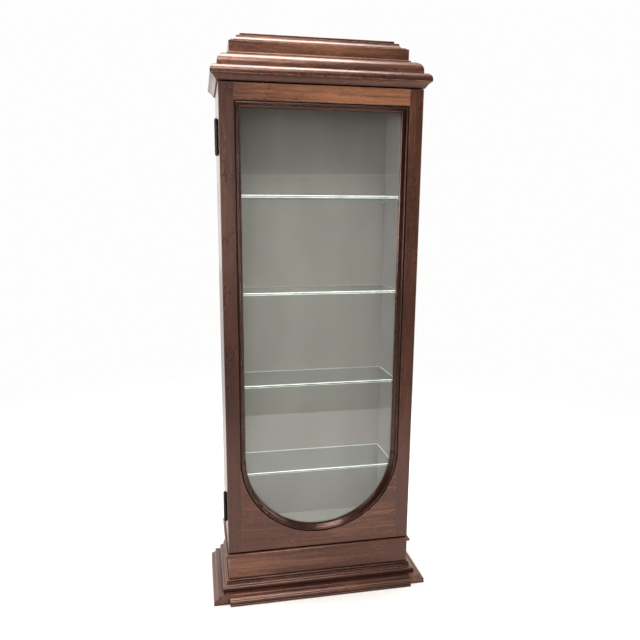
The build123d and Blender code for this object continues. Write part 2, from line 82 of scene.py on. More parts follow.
class Net:
    # a node tree that is filled by put(): settings first, then values or links for the sockets,
    # then the name or number of the output that is wanted
    def __init__(self, tree):
        self.tree = tree

    def put(self, kind, settings=None, plugs=None, out=0):
        node = self.tree.nodes.new(kind)
        for key, value in (settings or {}).items():
            if key == "stops":
                self.setStops(node.color_ramp, value)
            else:
                setattr(node, key, value)
        for key, value in (plugs or {}).items():
            if isinstance(value, Value):
                self.tree.links.new(value.socket, node.inputs[key])
            else:
                node.inputs[key].default_value = value
        return Value(self, node.outputs[out]) if len(node.outputs) else node

    def setStops(self, ramp, stops):
        while len(ramp.elements) < len(stops):
            ramp.elements.new(0.5)
        for element, (place, colour) in zip(ramp.elements, stops):
            element.position = place
            element.color = (*colour, 1.0)


class Shading(Net):
    # what the materials and the room both use
    def place(self):
        return self.put("ShaderNodeTexCoord", out="Object")

    def stored(self, name, out="Fac"):
        return self.put("ShaderNodeAttribute", {"attribute_name": name}, out=out)

    def split(self, vector):
        node = self.put("ShaderNodeSeparateXYZ", None, {0: vector}).socket.node
        return [Value(self, socket) for socket in node.outputs]

    def scaled(self, vector, factors):
        return self.put("ShaderNodeVectorMath", {"operation": "MULTIPLY"}, {0: vector, 1: factors})

    def shifted(self, vector, by):
        return self.put("ShaderNodeVectorMath", {"operation": "ADD"}, {0: vector, 1: by})

    def noise(self, vector, scale=1.0, detail=2.0, roughness=0.5, out=0):
        plugs = {"Vector": vector, "Scale": scale, "Detail": detail, "Roughness": roughness}
        return self.put("ShaderNodeTexNoise", None, plugs, out)

    def streaks(self, place, along, across, detail=2.0, roughness=0.5):
        # noise drawn out along the grain, which is the first axis of a stored place
        scaled = self.scaled(place, (along, across, across))
        return self.noise(scaled, detail=detail, roughness=roughness)

    def between(self, value, low, high):
        plugs = {"Value": value, "From Min": low, "From Max": high}
        return self.put("ShaderNodeMapRange", {"interpolation_type": "SMOOTHSTEP"}, plugs)

    def ramp(self, value, stops):
        return self.put("ShaderNodeValToRGB", {"stops": stops}, {0: value})

    def mix(self, factor, first, second, blend="MIX"):
        # a Mix node takes colours at inputs 6 and 7 and gives one at output 2
        first = first if isinstance(first, Value) else (*first, 1.0)
        second = second if isinstance(second, Value) else (*second, 1.0)
        settings = {"data_type": "RGBA", "blend_type": blend}
        return self.put("ShaderNodeMix", settings, {0: factor, 6: first, 7: second}, out=2)

    def bump(self, height, distance, strength=1.0, under=None):
        plugs = {"Height": height, "Distance": distance, "Strength": strength}
        if under is not None:
            plugs["Normal"] = under
        return self.put("ShaderNodeBump", None, plugs)

    def shine(self, **plugs):
        named = {key.replace("_", " "): value for key, value in plugs.items()}
        for key in ("Base Color", "Emission Color", "Sheen Tint", "Coat Tint", "Specular Tint"):
            if key in named and not isinstance(named[key], Value):
                named[key] = (*named[key], 1.0)
        return self.put("ShaderNodeBsdfPrincipled", None, named)


class Finish(Shading):
    # a material
    def __init__(self, name):
        self.material = bpy.data.materials.new(name)
        self.material.use_nodes = True
        self.material.node_tree.nodes.clear()
        super().__init__(self.material.node_tree)

    def end(self, surface):
        self.put("ShaderNodeOutputMaterial", None, {"Surface": surface})
        return self.material


# finishes

mahoganyLook = {
    "dark": (0.012, 0.0036, 0.0022),
    "middle": (0.043, 0.0130, 0.0068),
    "light": (0.25, 0.104, 0.051),
    "sheen": (1.0, 0.62, 0.53),      # the polish mirrors warm
    "bare": (0.40, 0.20, 0.11),      # where the finish has rubbed thin on an edge
    "ribbon": (5.0, 150.0),          # figure: how many per metre, along and across the grain
    "fibre": (46.0, 900.0),
    "fleck": (95.0, 620.0),
    "pore": (150.0, 2300.0),
    "cloud": (7.0, 19.0),
    "smear": (16.0, 38.0),           # unevenness of the polish
    "flow": (24.0, 60.0),
    "ringPitch": 0.0055,
    "paintedShade": (0.0075, 0.0030, 0.0022),   # painted shade: the colour laid over recesses, quirks and the undersides of mouldings
    "shadeReach": 0.008,
}

# painted shade: the glazing beads get a darker copy of the mahogany colours, for the shade they sit in,
# recessed in the door
beadLook = {
    **mahoganyLook,
    "dark": (0.006, 0.0012, 0.0008),
    "middle": (0.022, 0.0050, 0.0028),
    "light": (0.110, 0.036, 0.017),
    "bare": (0.20, 0.080, 0.040),
    "sheen": (0.80, 0.46, 0.38),
}


def mahogany(name, look, roughness, coat):
    f = Finish(name)
    place = f.stored("timber", "Vector")
    # the stored tone holds the plank's own tone together with painted light and shade, set per piece below
    tone = f.stored("tone")
    wear = f.stored("wear")
    sway = f.noise(f.scaled(place, (4.0, 22.0, 22.0)), detail=3.0, out="Color")
    swayed = f.shifted(place, f.scaled(f.shifted(sway, (-0.5, -0.5, -0.5)), (0.0, 0.014, 0.014)))
    _, across, deep = f.split(swayed)
    radius = (across * across + deep * deep).alone("SQRT")
    ring = (radius * (2 * pi / look["ringPitch"])).alone("SINE")
    ribbon = f.streaks(swayed, *look["ribbon"], detail=4.0, roughness=0.62)
    fibre = f.streaks(swayed, *look["fibre"], roughness=0.6)
    fleck = f.streaks(swayed, *look["fleck"])
    pore = f.streaks(place, *look["pore"], detail=1.0)
    cloud = f.streaks(place, *look["cloud"])
    pores = f.between(pore, 0.585, 0.70)
    flecks = f.between(fleck, 0.58, 0.74)
    shade = ribbon * 0.66 + ring * 0.030 + fibre * 0.34 + cloud * 0.46 + tone - flecks * 0.15 - 0.17
    colour = f.ramp(shade, [(0.22, look["dark"]), (0.55, look["middle"]), (0.92, look["light"])])
    colour = f.mix(pores * 0.62, colour, look["dark"])
    patch = f.noise(f.scaled(place, (160.0, 160.0, 160.0)), detail=3.0)
    rubbed = wear * f.between(patch, 0.36, 0.62)
    colour = f.mix(rubbed * 0.55, colour, look["bare"])
    # painted shade: an ambient occlusion mask darkens the colour in recesses, quirks and under the
    # mouldings, mixes in a dark matte surface there and dulls the gloss there
    reach = {"Distance": look["shadeReach"]}
    openness = f.put("ShaderNodeAmbientOcclusion", {"samples": 6}, reach, out="AO")
    recessShade = 1.0 - f.between(openness, 0.26, 0.78)
    colour = f.mix(recessShade * 0.94, colour, look["paintedShade"])
    smear = f.streaks(place, *look["smear"], detail=3.0)
    dull = roughness + (smear - 0.5) * 0.16 + pores * 0.12 + rubbed * 0.10 + recessShade * 0.42
    flow = f.streaks(place, *look["flow"])
    normal = f.bump(flow, 0.0011, 0.5)
    normal = f.bump(fibre * 0.4 - pores * 0.8, 0.00007, 0.55, normal)
    surface = f.shine(
        Base_Color=colour, Roughness=dull, Normal=normal,
        Specular_IOR_Level=0.80, Specular_Tint=look["sheen"],
        Coat_Weight=coat * (1.0 - recessShade * 0.7), Coat_Roughness=0.12,
    )
    # painted shade: the dark matte surface that is mixed into the recesses
    paintedShadeSurface = f.shine(Base_Color=look["paintedShade"], Roughness=0.7, Normal=normal, Specular_IOR_Level=0.12)
    return f.end(f.put("ShaderNodeMixShader", None, {0: recessShade * 0.88, 1: surface, 2: paintedShadeSurface}))


def plainTimber(name, dark, light, roughness):
    # the softwood and plywood of the parts that face the wall
    f = Finish(name)
    place = f.stored("timber", "Vector")
    ribbon = f.streaks(place, 4.0, 95.0, detail=4.0, roughness=0.6)
    fibre = f.streaks(place, 50.0, 1100.0)
    stain = f.streaks(place, 14.0, 14.0, detail=3.0)
    shade = ribbon * 0.8 + fibre * 0.3 + stain * 0.25 - 0.18
    colour = f.ramp(shade, [(0.25, dark), (0.8, light)])
    soiled = f.between(stain, 0.52, 0.74)
    colour = f.mix(soiled * 0.35, colour, tuple(c * 0.45 for c in dark))
    normal = f.bump(ribbon * 0.5 + fibre * 0.5, 0.00012, 0.6)
    return f.end(f.shine(Base_Color=colour, Roughness=roughness + fibre * 0.12, Normal=normal))


def flockedLining(name, colour, shadow):
    f = Finish(name)
    place = f.place()
    nap = f.noise(place, 2600.0, 2.0, 0.7)
    weave = f.noise(f.scaled(place, (1.0, 1.0, 0.35)), 900.0, 2.0)
    brushed = f.noise(f.scaled(place, (1.0, 1.0, 0.4)), 16.0, 4.0)
    tint = f.mix(f.between(brushed, 0.30, 0.72), shadow, colour)
    raised = tuple(min(1.0, c * 1.25) for c in colour)
    tint = f.mix(f.between(nap, 0.35, 0.75) * 0.15, tint, raised)
    normal = f.bump(nap * 0.6 + weave * 0.4, 0.00010, 0.35)
    return f.end(f.shine(
        Base_Color=tint, Roughness=0.90 - brushed * 0.10, Normal=normal,
        Sheen_Weight=0.25, Sheen_Roughness=0.5,
    ))


def clearGlass(name, tint, smears):
    # light from the lamps passes straight through, so that what is behind is lit
    f = Finish(name)
    place = f.place()
    film = f.noise(f.scaled(place, (1.0, 1.0, 0.6)), 9.0, 4.0, 0.6)
    wave = f.noise(place, 3.2, 1.0)
    normal = f.bump(wave, 0.0006, smears)
    roughness = f.between(film, 0.52, 0.80) * 0.015
    glass = f.shine(Base_Color=tint, Roughness=roughness, Normal=normal, IOR=1.5, Transmission_Weight=1.0)
    clear = f.put("ShaderNodeBsdfTransparent", None, {"Color": (*tint, 1.0)})
    lampRay = f.put("ShaderNodeLightPath", out="Is Shadow Ray")
    return f.end(f.put("ShaderNodeMixShader", None, {0: lampRay, 1: glass, 2: clear}))


def glassEdge(name, bright, deep, clear):
    # the cut edge or an arris of a shelf, with grinding marks, and a painted glow: the edge's colour,
    # lighter in patches, is given off as light to stand for light carried in the glass
    f = Finish(name)
    place = f.place()
    marks = f.noise(f.scaled(place, (240.0, 240.0, 2600.0)), 1.0, 3.0)
    glow = f.noise(f.scaled(place, (46.0, 46.0, 46.0)), 1.0, 4.0, 0.7)
    colour = f.mix(f.between(glow, 0.32, 0.66), deep, bright)
    normal = f.bump(marks, 0.00005, 0.6)
    # painted glow: the edge gives off its own colour as light, though it is no lamp
    edgeWithPaintedGlow = f.shine(
        Base_Color=colour, Roughness=0.22 + marks * 0.2, Normal=normal,
        Coat_Weight=0.6, Coat_Roughness=0.05, Emission_Color=colour, Emission_Strength=0.42,
    )
    through = f.put("ShaderNodeBsdfTransparent", None, {"Color": (0.90, 0.96, 0.93, 1.0)})
    return f.end(f.put("ShaderNodeMixShader", None, {0: clear, 1: edgeWithPaintedGlow, 2: through}))


def metal(name, colour, tarnish, roughness, scratch=1.0, metallic=1.0):
    f = Finish(name)
    place = f.place()
    spots = f.noise(place, 420.0, 4.0, 0.65)
    grain = f.noise(f.scaled(place, (300.0, 300.0, 3600.0)), 1.0, 2.0)
    aged = f.between(spots, 0.46, 0.68)
    tint = f.mix(aged, colour, tarnish)
    dull = roughness + aged * 0.22 + grain * 0.12
    normal = f.bump(grain * 0.5 + spots * 0.5, 0.00004 * scratch, 0.5)
    return f.end(f.shine(Base_Color=tint, Roughness=dull, Normal=normal, Metallic=metallic))


def moulded(name, colour, roughness):
    # plastic or rubber: fine spark texture, slightly dusty
    f = Finish(name)
    place = f.place()
    spark = f.noise(place, 3200.0, 2.0)
    dust = f.between(f.noise(place, 260.0, 3.0), 0.50, 0.75)
    dusty = tuple(min(1.0, c * 1.6 + 0.02) for c in colour)
    tint = f.mix(dust * 0.3, colour, dusty)
    normal = f.bump(spark, 0.00005, 0.6)
    return f.end(f.shine(Base_Color=tint, Roughness=roughness + dust * 0.15, Normal=normal))


finishes = {
    "mahogany": mahogany("polishedMahogany", mahoganyLook, 0.28, 0.02),
    "beadMahogany": mahogany("burnishedMahogany", beadLook, 0.17, 0.04),
    "softwood": plainTimber("stainedSoftwood", (0.075, 0.032, 0.018), (0.19, 0.098, 0.055), 0.55),
    "plywood": plainTimber("backPlywood", (0.13, 0.075, 0.040), (0.30, 0.19, 0.11), 0.60),
    "lining": flockedLining("taupeLining", (0.250, 0.226, 0.207), (0.222, 0.200, 0.182)),
    "doorGlass": clearGlass("doorGlass", (0.985, 0.995, 0.988), 0.12),
    "shelfGlass": clearGlass("shelfGlass", (0.93, 0.975, 0.955), 0.05),
    # painted highlight: the arrises are near white and glow, standing in for the highlights along them
    "shelfArris": glassEdge("groundGlassArris", (0.95, 0.955, 0.90), (0.66, 0.74, 0.68), 0.0),
    "shelfEdge": glassEdge("cutGlassEdge", (0.66, 0.72, 0.68), (0.40, 0.50, 0.46), 0.80),
    "bronzed": metal("darkBronzedSteel", (0.045, 0.036, 0.030), (0.014, 0.011, 0.009), 0.34),
    "zinc": metal("zincPlatedSteel", (0.62, 0.60, 0.54), (0.33, 0.29, 0.22), 0.28),
    "nickel": metal("nickelPlate", (0.72, 0.69, 0.62), (0.50, 0.46, 0.38), 0.16),
    "ferrite": metal("ferriteMagnet", (0.06, 0.06, 0.062), (0.03, 0.03, 0.032), 0.45, metallic=0.4),
    "plastic": moulded("brownCatchPlastic", (0.085, 0.040, 0.022), 0.42),
    "rubber": moulded("clearBrownRubber", (0.16, 0.12, 0.09), 0.60),
}
print("finishes made,", len(finishes))


# wooden pieces: softened copies of the CAD boards and mouldings, with the grain stored on them

def seat(mesh, name, body, slotName, *stoodFor):
    piece = bpy.data.objects.new(name, mesh)
    bpy.context.scene.collection.objects.link(piece)
    if stoodFor:
        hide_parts(*stoodFor)
    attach(piece, body)
    return piece


def hardened(mesh):
    # smooth shading that leaves the flats flat
    mesh.shade_smooth()
    mesh.set_sharp_from_angle(angle=radians(38))
    holder = bpy.data.objects.new("holder", mesh)
    bpy.context.scene.collection.objects.link(holder)
    weighted = holder.modifiers.new("weighted", "WEIGHTED_NORMAL")
    weighted.keep_sharp = True
    evaluated = holder.evaluated_get(bpy.context.evaluated_depsgraph_get())
    result = bpy.data.meshes.new_from_object(evaluated)
    bpy.data.objects.remove(holder)
    return result


def opened(nodeName):
    # a CAD mesh with its corners merged, ready to be worked on
    bm = bmesh.new()
    bm.from_mesh(nodes[nodeName].data)
    bmesh.ops.remove_doubles(bm, verts=bm.verts, dist=2e-6)
    return bm


def flattened(bm):
    bmesh.ops.dissolve_limit(bm, angle_limit=radians(0.6), verts=bm.verts, edges=bm.edges)


def closed(bm, name):
    mesh = bpy.data.meshes.new(name)
    bm.to_mesh(mesh)
    bm.free()
    return mesh


def softened(nodeName, arris, shortest):
    # a copy whose long sharp edges are rounded; the new faces are marked as worn
    bm = opened(nodeName)
    flattened(bm)
    wear = bm.faces.layers.float.new("wear")
    sharp = [
        e for e in bm.edges
        if len(e.link_faces) == 2 and e.calc_length() > shortest and e.calc_face_angle() > radians(30)
    ]
    made = bmesh.ops.bevel(
        bm, geom=sharp, offset=arris, segments=3, profile=0.5, affect="EDGES", clamp_overlap=True
    )
    for face in made["faces"]:
        face[wear] = 1.0
    bmesh.ops.triangulate(bm, faces=[face for face in bm.faces if len(face.verts) > 4])
    return closed(bm, nodeName + "Softened")


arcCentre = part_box("bead_arc")[1].z
arcRadius = 0.13                         # turns an angle round the bead into a length
planksApart = Vector((0.61, 0.083, 0.047))
grainAxis = {"x": 0, "y": 1, "z": 2, "arc": 2}


def alongGrain(point, grain):
    x, y, z = point
    if grain == "x":
        return (x, y, z)
    if grain == "y":
        return (y, x, z)
    if grain == "z":
        return (z, x, y)
    radius = max(1e-6, (x * x + (z - arcCentre) ** 2) ** 0.5)
    return (atan2(x, arcCentre - z) * arcRadius, radius, y)


def timbered(mesh, grain, tone, number):
    # keeps each point's place in its own plank, so that the grain runs along the piece, and its tone,
    # which is partly the plank's own and partly painted light and shade, and may slope along the piece
    apart = planksApart * number
    place = mesh.attributes.new("timber", "FLOAT_VECTOR", "POINT")
    places = [Vector(alongGrain(v.co, grain)) + apart for v in mesh.vertices]
    place.data.foreach_set("vector", [c for p in places for c in p])
    first, last = tone if isinstance(tone, tuple) else (tone, tone)
    along = [v.co[grainAxis[grain]] for v in mesh.vertices]
    start, length = min(along), max(along) - min(along)
    lightAndToneLayer = mesh.attributes.new("tone", "FLOAT", "POINT")
    lightAndToneLayer.data.foreach_set("value", [first + (last - first) * (a - start) / length for a in along])


# node: piece, body, grain, tone with painted light and shade (or its first and last value along the grain),
# arris, shortest edge that is rounded, and for hidden wood the finish and slot
# painted light and shade in the tones: the crown front is darkened as painted shade under the crown; the
# top rail gets lighter towards its right, partly its figure and partly a painted highlight; the plinth and
# base fronts are lighter at the left and darker towards the right, painted light and shade; the right stile
# gets lighter towards its top and the bottom panel towards its right
woodPieces = {
    "stile_left": ("doorStileLeft", "door", "z", (-0.20, -0.20), 0.0006, 0.006),
    "stile_right": ("doorStileRight", "door", "z", (-0.16, 0.04), 0.0006, 0.006),
    "top_rail": ("doorTopRail", "door", "x", (0.02, 0.24), 0.0004, 0.006),
    "bottom_panel": ("doorBottomPanel", "door", "x", (-0.04, 0.02), 0.0004, 0.003),
    "bead_left": ("glazingBeadLeft", "door", "z", -0.20, 0.00025, 0.02),
    "bead_right": ("glazingBeadRight", "door", "z", -0.20, 0.00025, 0.02),
    "bead_top": ("glazingBeadTop", "door", "x", -0.20, 0.00025, 0.02),
    "bead_arc": ("glazingBeadArc", "door", "arc", -0.16, 0.00015, 0.9),
    "retainer_strips": ("glassRetainers", "door", "z", -0.04, 0.0003, 0.02),
    "side_panel_left": ("sideLeft", "case", "z", -0.02, 0.0006, 0.012),
    "side_panel_right": ("sideRight", "case", "z", 0.0, 0.0006, 0.012),
    "top_board": ("topBoard", "case", "x", 0.0, 0.0005, 0.012),
    "bottom_board": ("bottomBoardNosed", "case", "x", 0.06, 0.0004, 0.012),
    "plinth_front": ("plinthFront", "case", "x", (0.12, -0.06), 0.0004, 0.012),
    "plinth_left": ("plinthLeft", "case", "y", 0.0, 0.0004, 0.012),
    "plinth_right": ("plinthRight", "case", "y", 0.02, 0.0004, 0.012),
    "plinth_back": ("plinthBack", "case", "x", -0.02, 0.0004, 0.012),
    "base_upper_front": ("baseUpperFront", "case", "x", (0.0, -0.14), 0.0003, 0.02),
    "base_upper_left": ("baseUpperLeft", "case", "y", 0.0, 0.0003, 0.02),
    "base_upper_right": ("baseUpperRight", "case", "y", 0.0, 0.0003, 0.02),
    "base_lower_front": ("baseLowerFront", "case", "x", (0.10, -0.16), 0.0004, 0.02),
    "base_lower_left": ("baseLowerLeft", "case", "y", -0.01, 0.0004, 0.02),
    "base_lower_right": ("baseLowerRight", "case", "y", 0.0, 0.0004, 0.02),
    "crown_front": ("crownFront", "case", "x", -0.06, 0.0004, 0.02),
    "crown_left": ("crownLeft", "case", "y", 0.02, 0.0004, 0.02),
    "crown_right": ("crownRight", "case", "y", 0.02, 0.0004, 0.02),
    "frieze_front": ("friezeFront", "case", "x", 0.05, 0.0003, 0.02),
    "frieze_left": ("friezeLeft", "case", "y", 0.03, 0.0003, 0.02),
    "frieze_right": ("friezeRight", "case", "y", 0.0, 0.0003, 0.02),
    "cap_moulding": ("capMoulding", "case", "x", 0.03, 0.0003, 0.02),
    "cap_board": ("capBoard", "case", "x", -0.06, 0.0006, 0.012),
}
hiddenWood = {
    "base_board": ("baseBoard", "case", "x", 0.0, 0.0004, 0.012, "softwood", "plain_wood"),
    "cornice_board": ("corniceBoard", "case", "x", 0.0, 0.0004, 0.012, "softwood", "plain_wood"),
    "hanging_rail": ("hangingRail", "case", "x", 0.0, 0.0004, 0.012, "softwood", "plain_wood"),
    "back_panel": ("backPanel", "case", "z", 0.0, 0.0003, 0.02, "plywood", "back_board"),
}
for number, (nodeName, facts) in enumerate({**woodPieces, **hiddenWood}.items()):
    pieceName, body, grain, tone, arris, shortest = facts[:6]
    shown = ("beadMahogany" if "bead" in nodeName else "mahogany", "mahogany")
    finish, slotName = facts[6:] or shown
    mesh = hardened(softened(nodeName, arris, shortest))
    timbered(mesh, grain, tone, number)
    mesh.materials.clear()
    mesh.materials.append(finishes[finish])
    seat(mesh, pieceName, body, slotName, nodeName)
print("wooden pieces made,", len(woodPieces) + len(hiddenWood))


# glass shelves: clear faces, cut edges with a painted glow, and arrises with grinding marks and a painted
# highlight

shelfFinishes = ("shelfGlass", "shelfEdge", "shelfArris")
for number in range(1, 5):
    bm = opened(f"glass_shelf_{number}")
    flattened(bm)
    mesh = closed(bm, f"shelf{number}")
    mesh.shade_flat()
    mesh.materials.clear()
    for finish in shelfFinishes:
        mesh.materials.append(finishes[finish])
    for face in mesh.polygons:
        upward = abs(face.normal.z)
        face.material_index = 0 if upward > 0.95 else 1 if upward < 0.2 else 2
    seat(mesh, f"shelf{number}", "case", "shelf_glass", f"glass_shelf_{number}")
print("shelves made")


# screws, pins and brads: geometry trees that set one pattern at every place

class Grower(Net):
    def __init__(self, name, sizes):
        super().__init__(bpy.data.node_groups.new(name, "GeometryNodeTree"))
        face = self.tree.interface
        face.new_socket("Geometry", in_out="INPUT", socket_type="NodeSocketGeometry")
        self.keys = {}
        for label, size in sizes.items():
            kind = "NodeSocketInt" if isinstance(size, int) else "NodeSocketFloat"
            socket = face.new_socket(label, in_out="INPUT", socket_type=kind)
            socket.default_value = size
            self.keys[label] = socket.identifier
        face.new_socket("Geometry", in_out="OUTPUT", socket_type="NodeSocketGeometry")
        start = self.tree.nodes.new("NodeGroupInput")
        self.size = {s.name: Value(self, s) for s in start.outputs if s.name}

    def moved(self, geometry, x=0.0, y=0.0, z=0.0):
        offset = self.put("ShaderNodeCombineXYZ", None, {0: x, 1: y, 2: z})
        return self.put("GeometryNodeTransform", None, {"Geometry": geometry, "Translation": offset})

    def together(self, *parts):
        join = self.tree.nodes.new("GeometryNodeJoinGeometry")
        for part in reversed(parts):
            self.tree.links.new(part.socket, join.inputs[0])
        return Value(self, join.outputs[0])

    def cylinder(self, vertices, radius, depth):
        plugs = {"Vertices": vertices, "Radius": radius, "Depth": depth}
        return self.put("GeometryNodeMeshCylinder", None, plugs)

    def cone(self, vertices, top, bottom, depth):
        plugs = {"Vertices": vertices, "Radius Top": top, "Radius Bottom": bottom, "Depth": depth}
        return self.put("GeometryNodeMeshCone", None, plugs)

    def drawn(self, low, high, seed):
        # a Random Value node takes its limits at inputs 2 and 3 and the seed at 8 for a float, at output 1
        plugs = {2: low, 3: high, 8: seed}
        return self.put("FunctionNodeRandomValue", {"data_type": "FLOAT"}, plugs, out=1)

    def aimed(self, seed, turn):
        # a rotation that points local +Z along each place's stored aim, turned at random about it
        aim = self.put("GeometryNodeInputNamedAttribute", {"data_type": "FLOAT_VECTOR"}, {"Name": "aim"})
        pointed = self.put("FunctionNodeAlignRotationToVector", {"axis": "Z"}, {"Vector": aim})
        angle = self.drawn(0.0, turn, seed)
        spin = self.put("FunctionNodeAxisAngleToRotation", None, {"Axis": (0.0, 0.0, 1.0), "Angle": angle})
        plugs = {"Rotation": pointed, "Rotate By": spin}
        return self.put("FunctionNodeRotateRotation", {"rotation_space": "LOCAL"}, plugs)

    def grow(self, points, pattern, rotation, material):
        plugs = {"Points": points, "Instance": pattern, "Rotation": rotation}
        placed = self.put("GeometryNodeInstanceOnPoints", None, plugs)
        real = self.put("GeometryNodeRealizeInstances", None, {"Geometry": placed})
        covered = self.put("GeometryNodeSetMaterial", None, {"Geometry": real, "Material": material})
        self.put("NodeGroupOutput", None, {0: covered})
        return self


def grown(grower, source, sizes, name, body, slotName, *stoodFor):
    # runs a tree on a source object and keeps the plain mesh
    bpy.context.scene.collection.objects.link(source)
    modifier = source.modifiers.new("tree", "NODES")
    modifier.node_group = grower.tree
    for label, size in sizes.items():
        modifier[grower.keys[label]] = size
    evaluated = source.evaluated_get(bpy.context.evaluated_depsgraph_get())
    mesh = bpy.data.meshes.new_from_object(evaluated)
    source.modifiers.clear()
    bpy.data.objects.remove(source)
    mesh.shade_smooth()
    mesh.set_sharp_from_angle(angle=radians(35))
    return seat(mesh, name, body, slotName, *stoodFor)


def pointCloud(places, aims):
    mesh = bpy.data.meshes.new("places")
    mesh.from_pydata(places, [], [])
    aim = mesh.attributes.new("aim", "FLOAT_VECTOR", "POINT")
    aim.data.foreach_set("vector", [c for a in aims for c in a])
    return bpy.data.objects.new("places", mesh)


def islands(nodeName):
    # the box of each separate solid in a CAD node
    bm = opened(nodeName)
    left, found = set(bm.verts), []
    while left:
        todo, low, high = [left.pop()], Vector((9, 9, 9)), Vector((-9, -9, -9))
        while todo:
            vert = todo.pop()
            low = Vector(map(min, low, vert.co))
            high = Vector(map(max, high, vert.co))
            for edge in vert.link_edges:
                other = edge.other_vert(vert)
                if other in left:
                    left.discard(other)
                    todo.append(other)
        found.append((low, high))
    bm.free()
    return sorted(found, key=lambda box: tuple(round(c, 4) for c in box[0]))


def slottedScrew(material):
    g = Grower("slottedScrew", {
        "Head Radius": 0.0026, "Shank Radius": 0.0012, "Length": 0.013,
        "Slot Width": 0.0006, "Slot Depth": 0.0007, "Seed": 0,
    })
    s = g.size
    rise = s["Head Radius"] - s["Shank Radius"]
    head = g.cone(28, s["Shank Radius"], s["Head Radius"], rise)
    slotSize = {0: s["Head Radius"] * 2.4, 1: s["Slot Width"], 2: s["Slot Depth"] * 2.0}
    box = g.put("ShaderNodeCombineXYZ", None, slotSize)
    slot = g.put("GeometryNodeMeshCube", None, {"Size": box})
    exact = {"operation": "DIFFERENCE", "solver": "EXACT"}
    cut = g.put("GeometryNodeMeshBoolean", exact, {0: head, 1: slot})
    shank = g.cylinder(14, s["Shank Radius"], s["Length"] - rise)
    shank = g.moved(shank, z=(s["Length"] + rise) * 0.5)
    return g.grow(s["Geometry"], g.together(cut, shank), g.aimed(s["Seed"], 2 * pi), material)


screwSets = {
    "back_screws": {
        "piece": "backScrews", "body": "case", "slot": "zinc_steel", "finish": "zinc",
        "headSide": (0, 1, 0),
        "sizes": {"Head Radius": 0.0026, "Shank Radius": 0.0012, "Length": 0.0130, "Seed": 3},
    },
    "catch_screws": {
        "piece": "catchScrews", "body": "case", "slot": "zinc_steel", "finish": "zinc",
        "headSide": (0, 0, -1),
        "sizes": {"Head Radius": 0.0022, "Shank Radius": 0.0011, "Length": 0.0190, "Seed": 5},
    },
    "frame_leaf_screws": {
        "piece": "frameLeafScrews", "body": "case", "slot": "dark_hinge_metal", "finish": "bronzed",
        "headSide": (0, -1, 0),
        "sizes": {"Head Radius": 0.0022, "Shank Radius": 0.0011, "Length": 0.0120, "Seed": 7},
    },
    "door_leaf_screws": {
        "piece": "doorLeafScrews", "body": "door", "slot": "dark_hinge_metal", "finish": "bronzed",
        "headSide": (0, 1, 0),
        "sizes": {"Head Radius": 0.0022, "Shank Radius": 0.0011, "Length": 0.0100, "Seed": 9},
    },
}
for nodeName, facts in screwSets.items():
    side = Vector(facts["headSide"])
    heads = []
    for low, high in islands(nodeName):
        middle, half = (low + high) / 2, (high - low) / 2
        heads.append(middle + Vector(s * h for s, h in zip(side, half)))
    source = pointCloud(heads, [-side] * len(heads))
    tree = slottedScrew(finishes[facts["finish"]])
    grown(tree, source, facts["sizes"], facts["piece"], facts["body"], facts["slot"], nodeName)
    print(facts["piece"], len(heads))


pinLook = {"noseLength": 0.0010, "noseTaper": 0.0008, "rimTaper": 0.0006}


def shelfPin(material):
    g = Grower("shelfPin", {
        "Radius": 0.0025, "Depth In": 0.0095, "Reach": 0.009,
        "Collar Radius": 0.0035, "Collar Thickness": 0.0009, "Seed": 1,
    })
    s = g.size
    noseLength = pinLook["noseLength"]
    stem = g.cylinder(24, s["Radius"], s["Depth In"] + s["Reach"] - noseLength)
    stem = g.moved(stem, z=(s["Depth In"] - s["Reach"] + noseLength) * 0.5)
    nose = g.cone(24, s["Radius"], s["Radius"] - pinLook["noseTaper"], noseLength)
    nose = g.moved(nose, z=-1.0 * s["Reach"])
    collar = g.cylinder(28, s["Collar Radius"], s["Collar Thickness"] * 0.6)
    collar = g.moved(collar, z=s["Collar Thickness"] * -0.3)
    rimRadius = s["Collar Radius"] - pinLook["rimTaper"]
    rim = g.cone(28, s["Collar Radius"], rimRadius, s["Collar Thickness"] * 0.4)
    rim = g.moved(rim, z=s["Collar Thickness"] * -1.0)
    pin = g.together(stem, nose, collar, rim)
    return g.grow(s["Geometry"], pin, g.aimed(s["Seed"], 0.0), material)


pinPlaces, pinAims = [], []
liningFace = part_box("side_lining_right")[0].x
for low, high in islands("shelf_pins"):
    side = 1 if low.x > 0 else -1
    pinPlaces.append(Vector((side * liningFace, (low.y + high.y) / 2, (low.z + high.z) / 2)))
    pinAims.append(Vector((side, 0, 0)))
pinTree, pinSource = shelfPin(finishes["nickel"]), pointCloud(pinPlaces, pinAims)
grown(pinTree, pinSource, {}, "shelfPins", "case", "pin_nickel", "shelf_pins")
print("shelf pins", len(pinPlaces))


# brads that hold the glazing strips, evenly spaced round the back of the door

bradLook = {"spacing": 0.062, "inFromGlassEdge": 0.0007, "head": 0.00075, "seed": 4, "tilt": 0.12}
arcSteps = 40


def bradTree(material):
    g = Grower("glazingBrads", {"Spacing": 0.06, "Head": 0.0008, "Seed": 1})
    s = g.size
    path = g.put("GeometryNodeMeshToCurve", None, {0: s["Geometry"]})
    points = g.put("GeometryNodeResampleCurve", {"mode": "LENGTH"}, {"Curve": path, "Length": s["Spacing"]})
    ball = g.put("GeometryNodeMeshUVSphere", None, {"Segments": 12, "Rings": 8, "Radius": s["Head"]})
    flat = g.put("GeometryNodeTransform", None, {"Geometry": ball, "Scale": (1.0, 1.0, 0.34)})
    tilt = g.drawn(-bradLook["tilt"], bradLook["tilt"], s["Seed"])
    plugs = {"Axis": (1.0, 0.0, 0.0), "Angle": tilt + pi / 2}
    turn = g.put("FunctionNodeAxisAngleToRotation", None, plugs)
    return g.grow(points, flat, turn, material)


